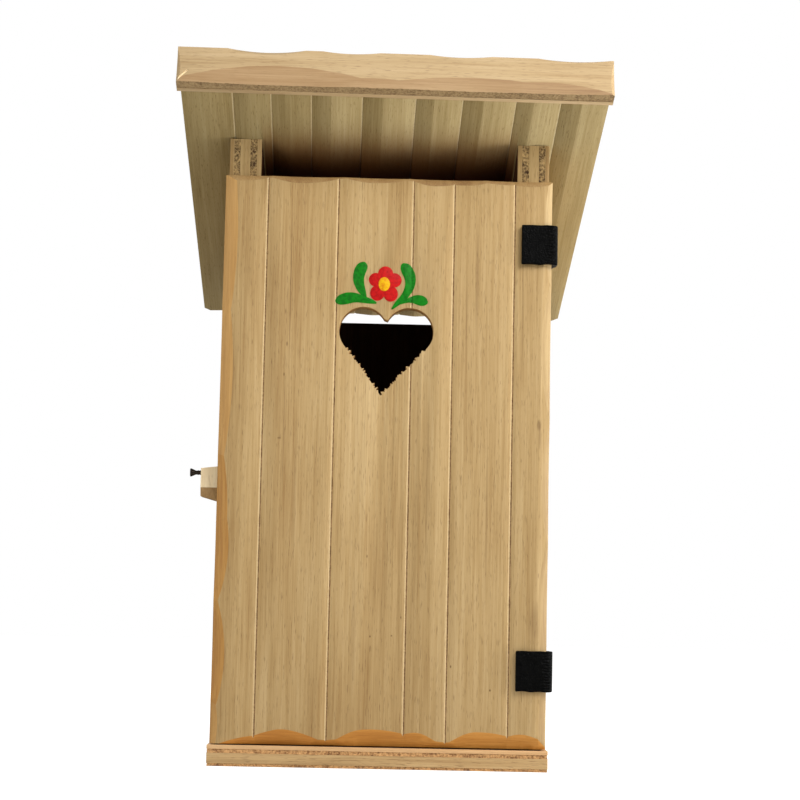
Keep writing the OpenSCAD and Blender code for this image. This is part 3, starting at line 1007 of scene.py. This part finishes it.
# %% Leather
leather, leather_tree, leather_shader = new_finish("black_leather", 0.38, Specular_IOR_Level=0.05)
leather_place = own_place(leather_tree)
grain_cells = add_node(leather_tree, "TexVoronoi", {"Vector": leather_place,
                                                    "Scale": 1500}).outputs["Distance"]
creases = noise(leather_tree, leather_place, 500, 4, 0.6)
ticks = add_node(leather_tree, "TexWave", {"Vector": leather_place, "Scale": 240, "Distortion": 3.0,
                                           "Detail Scale": 2.0}, bands_direction="Z").outputs["Fac"]
leather_x = add_node(leather_tree, "SeparateXYZ", {0: leather_place}).outputs[0]
ticks = maths(leather_tree, "MULTIPLY", ticks, ranged(leather_tree, leather_x, 0.0715, 0.0745))
leather_height = maths(leather_tree, "ADD", maths(leather_tree, "ADD", grain_cells, creases), ticks)
leather_colour = ramp(leather_tree, creases, [(0.35, tone(0, 0, 0)), (0.7, tone(6, 6, 5))])
dress(leather_tree, leather_shader, leather_colour, leather_height, 0.0003, 0.8)

STRAP_THICK, STRAP_HIGH, CORNER, CORNER_BULGE = 2.2, 18.1, 2.6, 0.5
CORNER_STEPS = 8
leaf_low, leaf_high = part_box("upper_strap_wall")
flap_low, flap_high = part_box("upper_strap_door")


def strap_path():
    """Places (x, y) of the strap's middle line in millimetres, from the wall round to the face."""
    half = STRAP_THICK / 2
    wall_x, side_x = leaf_low.x / MM + half, flap_high.x / MM - half + CORNER_BULGE
    face_y = flap_low.y / MM + half
    path = [(wall_x, leaf_high.y / MM), (wall_x, leaf_low.y / MM + 0.6), (side_x, flap_high.y / MM - 0.6)]
    turn = CORNER - half
    for i in range(CORNER_STEPS + 1):
        angle = -math.pi / 2 * i / CORNER_STEPS
        path.append((side_x - turn + turn * math.cos(angle), face_y + turn + turn * math.sin(angle)))
    path.append((flap_low.x / MM, face_y))
    return path


def along_path(path, distance):
    """Place and direction at a distance along the strap's path."""
    for (x0, y0), (x1, y1) in zip(path, path[1:]):
        step = math.hypot(x1 - x0, y1 - y0)
        if distance <= step or (x1, y1) == path[-1]:
            share = distance / step
            return x0 + (x1 - x0) * share, y0 + (y1 - y0) * share
        distance -= step


def make_strap(name, wall_node, door_node, seed, lift):
    """Wraps one flat strip of leather along the path and thickens it; lift is how high it was glued."""
    low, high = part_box(wall_node)
    path = strap_path()
    length = sum(math.dist(a, b) for a, b in zip(path, path[1:]))
    put_down()
    bpy.ops.mesh.primitive_grid_add(x_subdivisions=64, y_subdivisions=24, size=1)
    strap = new_piece(name)
    dice = random.Random(seed)
    wave = [dice.uniform(-0.25, 0.25) for _ in range(8)]
    pick(strap, "VERT", everything)
    mesh = bmesh.from_edit_mesh(strap.data)
    for point in mesh.verts:
        share, height = point.co.x + 0.5, point.co.y
        x, y = along_path(path, share * length)
        ragged = sum(w * math.sin((i + 2) * share * 5 + i) for i, w in enumerate(wave))
        ragged *= 0.4 if height < 0 else 0.15
        rise = lift + height * STRAP_HIGH + ragged * abs(height) * 2
        point.co = Vector((x * MM, y * MM, (low.z + high.z) / 2 + rise * MM))
    bmesh.update_edit_mesh(strap.data)
    put_down()
    finish_with(strap, "SOLIDIFY", thickness=STRAP_THICK * MM * 0.96, offset=0)
    ease_edges(strap, 0.45, 50, segments=3, smooth=60)
    give_finishes(strap, leather)
    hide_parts(wall_node, door_node)
    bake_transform(strap)
    print(name, "is", round(length, 1), "mm long when laid flat")


make_strap("upper_strap", "upper_strap_wall", "upper_strap_door", seed=3, lift=0.5)
make_strap("lower_strap", "lower_strap_wall", "lower_strap_door", seed=5, lift=0.0)

# %% [markdown]
# ## The turn button and its screw
# The door is held shut by a small block that turns on a screw in the left wall's side. The block
# is sawn from a slip of pale wood and its foot is whittled on three sides. The screw's head
# stands clear of the wood, so its countersunk cone and the slot show.

# %% Make the turn button
button_low, button_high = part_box("turn_button")
turn_button = block("turn_button_block", button_low, button_high)
give_finishes(turn_button, button_wood_painted_light, button_cut)


def whittle_flat(piece, place, x, y, z, slot):
    """Slices a flat facet off and gives it a finish; x, y and z point out of the facet."""
    normal = Vector((x, y, z)).normalized()
    shave(piece, place, normal)
    paint_faces(piece, slot, lambda face: face.normal.dot(normal) > 0.999)


RISE, FALL, FACET, BITE = 2.1, 0.9, 6.0, 2.4
wide = (button_high.x - button_low.x) / MM
whittle_flat(turn_button, Vector((button_high.x, 0, button_low.z)), -RISE, 0, -wide, 1)
whittle_flat(turn_button, Vector((button_high.x, 0, button_high.z)), -FALL, 0, wide, 0)
for side, y in ((-1, button_low.y), (1, button_high.y)):
    whittle_flat(turn_button, Vector((0, y, button_low.z + FACET * MM)), 0, side * FACET, -BITE, 1)
screw_low, screw_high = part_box("button_screw")
screw_middle = (screw_low + screw_high) / 2
BORE_WIDE = 2.3
put_down()
bpy.ops.mesh.primitive_cylinder_add(vertices=48, radius=BORE_WIDE / 2 * MM, depth=40 * MM,
                                    rotation=(0, math.pi / 2, 0),
                                    location=(button_low.x, screw_middle.y, screw_middle.z))
bore = new_piece("bore_cutter")
lay(bore, bore.matrix_world.copy())
bore.data.materials.append(button_cut)
carve(turn_button, bore)
ease_edges(turn_button, 0.25)
print("turn button faces", len(turn_button.data.polygons))

# %% Make the screw
dark_steel, steel_tree, steel_shader = new_finish("dark_steel", 0.28, Metallic=1.0)
steel_spots = noise(steel_tree, own_place(steel_tree), 1800, 3, 0.6)
steel_tree.links.new(ramp(steel_tree, steel_spots, [(0.3, tone(18, 15, 13)), (0.75, tone(74, 66, 58))]),
                     steel_shader.inputs["Base Color"])
HEAD_WIDE, HEAD_LONG, RIM, SHANK_WIDE, CORE_SHARE = 3.8, 2.6, 0.5, 2.2, 0.86
THREADS, THREAD_STEP, CREST = 16, 0.55, 1.16
SLOT_HALF, SLOT_DEEP = 0.35, 0.8
half_long = (screw_high.x - screw_low.x) / 2
put_down()
bpy.ops.mesh.primitive_cylinder_add(vertices=40, radius=SHANK_WIDE / 2 * MM * CORE_SHARE, depth=1)
button_screw = new_piece("slotted_screw")
pick(button_screw, "FACE", everything)
bpy.ops.transform.resize(value=(1, 1, (screw_high.x - screw_low.x)))
put_down()
pick(button_screw, "FACE", lambda face: face.normal.z < -0.9)
bpy.ops.transform.translate(value=(0, 0, HEAD_LONG * MM))
bpy.ops.mesh.extrude_region_move(TRANSFORM_OT_translate={"value": (0, 0, -(HEAD_LONG - RIM) * MM)})
grow = HEAD_WIDE / 2 / (SHANK_WIDE / 2 * CORE_SHARE)
bpy.ops.transform.resize(value=(grow, grow, 1))
bpy.ops.mesh.extrude_region_move(TRANSFORM_OT_translate={"value": (0, 0, -RIM * MM)})
put_down()
for i in range(THREADS):
    slice_z = -half_long + (HEAD_LONG + THREAD_STEP * (i + 1)) * MM
    if slice_z < half_long:
        slice_through(button_screw, Vector((0, 0, slice_z)), Z)
shank = [p.co.z for p in button_screw.data.vertices if p.co.z > -half_long + (HEAD_LONG + 0.3) * MM]
for height in sorted({round(z, 7) for z in shank})[1:-1:2]:
    pick(button_screw, "VERT", lambda p: abs(p.co.z - height) < 1e-6)
    bpy.ops.transform.resize(value=(CREST, CREST, 1))
    put_down()
slot_cutter = block("slot_cutter", Vector((-3 * MM, -SLOT_HALF * MM, -half_long - 2 * MM)),
                    Vector((3 * MM, SLOT_HALF * MM, -half_long + SLOT_DEEP * MM)))
carve(button_screw, slot_cutter)
lay(button_screw, Matrix.Translation(screw_middle) @ Matrix.Rotation(math.pi / 2, 4, "Y"))
ease_edges(button_screw, 0.08, 30)
give_finishes(button_screw, dark_steel)
print("screw faces", len(button_screw.data.polygons))

# %% [markdown]
# ## The stage
# The floor is plain and pale, and the sky is an even white. One soft lamp hangs in front, to the
# right. A second stands low on the right, where it lights the underside of the roof and grazes
# the carved boards. Two weak ones lift the left side and the back. The camera looks slightly up
# from low down. The floor and the sky look whiter to the camera than they are as lights, so that
# a white backdrop doesn't wash out the wood.

# %% Floor and light
def camera_sees(tree, as_light, as_seen, output):
    """Gives the scene one shader as a light, and shows the camera another."""
    mixed = add_node(tree, "MixShader", {0: add_node(tree, "LightPath").outputs["Is Camera Ray"],
                                         1: as_light.outputs[0], 2: as_seen.outputs[0]})
    tree.links.new(mixed.outputs[0], tree.nodes[output].inputs["Surface"])


put_down()
bpy.ops.mesh.primitive_plane_add(size=6)
floor = new_piece("floor")
floor_finish, floor_tree, floor_shader = new_finish("floor_white", 0.9, Base_Color=(0.5, 0.5, 0.5, 1),
                                                    Emission_Color=(1, 1, 1, 1), Emission_Strength=0.8)
dull = add_node(floor_tree, "BsdfDiffuse", {"Color": (0.7, 0.7, 0.7, 1)})
camera_sees(floor_tree, dull, floor_shader, "Material Output")
give_finishes(floor, floor_finish)

world = bpy.data.worlds.new("studio")
bpy.context.scene.world = world
world.use_nodes = True
sky = world.node_tree
sky.nodes["Background"].inputs["Strength"].default_value = 0.42
shown = add_node(sky, "Background", {"Color": (1, 1, 1, 1), "Strength": 1.0})
sky.nodes["Background"].inputs["Color"].default_value = (1, 1, 1, 1)
camera_sees(sky, sky.nodes["Background"], shown, "World Output")


LAMP_SIZE = 0.4
LAMPS = (("key_lamp", (0.5, -0.6, 0.7), 0.18, 6.5), ("low_lamp", (0.8, -0.1, 0.04), 0.2, 9),
         ("left_lamp", (-0.7, -0.7, 0.3), 0.15, 2.2), ("back_lamp", (-0.5, 0.9, 0.6), 0.15, 4))
for name, place, aim_z, power in LAMPS:
    put_down()
    turn = (Vector(place) - Vector((0, 0, aim_z))).to_track_quat("Z", "Y").to_euler()
    bpy.ops.object.light_add(type="AREA", location=place, rotation=turn)
    lamp = bpy.context.object
    lamp.name, lamp.data.size, lamp.data.energy = name, LAMP_SIZE, power
bpy.context.scene.view_settings.view_transform = "Standard"
print("lamps", [name for name, *_ in LAMPS])

# %% Camera
CAMERA_PLACE = mm(-5.9, -977.8, 71.8)
yaw, pitch, roll = (math.radians(a) for a in (0.811, 5.921, 1.192))
ahead = Vector((math.sin(yaw) * math.cos(pitch), math.cos(yaw) * math.cos(pitch), math.sin(pitch)))
level_right = Vector((math.cos(yaw), -math.sin(yaw), 0))
level_up = level_right.cross(ahead)
right = level_right * math.cos(roll) + level_up * math.sin(roll)
up = level_up * math.cos(roll) - level_right * math.sin(roll)
put_down()
bpy.ops.object.camera_add()
camera = bpy.context.object
camera.data.sensor_width = 36
camera.data.lens = 90
camera.matrix_world = (Matrix.Translation(CAMERA_PLACE)
                       @ Matrix((right, up, -ahead)).transposed().to_4x4())
bpy.context.scene.camera = camera
print("camera stands at", [round(c, 3) for c in CAMERA_PLACE])

# %% [markdown]
# ## Riding on the frame
# Every piece listed here rides on the body it belongs to and stands for the imported node it
# replaces.

# %% Bodies, stood-for nodes and record finishes
RIDERS = (
    (base_board, "cabin", "base_plate", "plywood"),
    (left_side, "cabin", "left_wall", "plywood"),
    (right_side, "cabin", "right_wall", "plywood"),
    (back_board, "cabin", "back_panel", "grooved_pine"),
    (roof_board, "cabin", "roof_panel", "grooved_pine"),
    (front_strip, "cabin", "roof_fascia", "whittled_pine"),
    (button_screw, "cabin", "button_screw", "black_screw"),
    (door_board, "door", "door_panel", "grooved_pine"),
    (turn_button, "button", "turn_button", "whittled_pine"),
    (flower_petals, "door", None, None),
    (flower_eye, "door", None, None),
    (flower_leaves, "door", None, None),
)
for piece, body, node, slot_name in RIDERS:
    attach(piece, body)
    if node:
        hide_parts(node)
print("pieces on one body:", len(RIDERS))
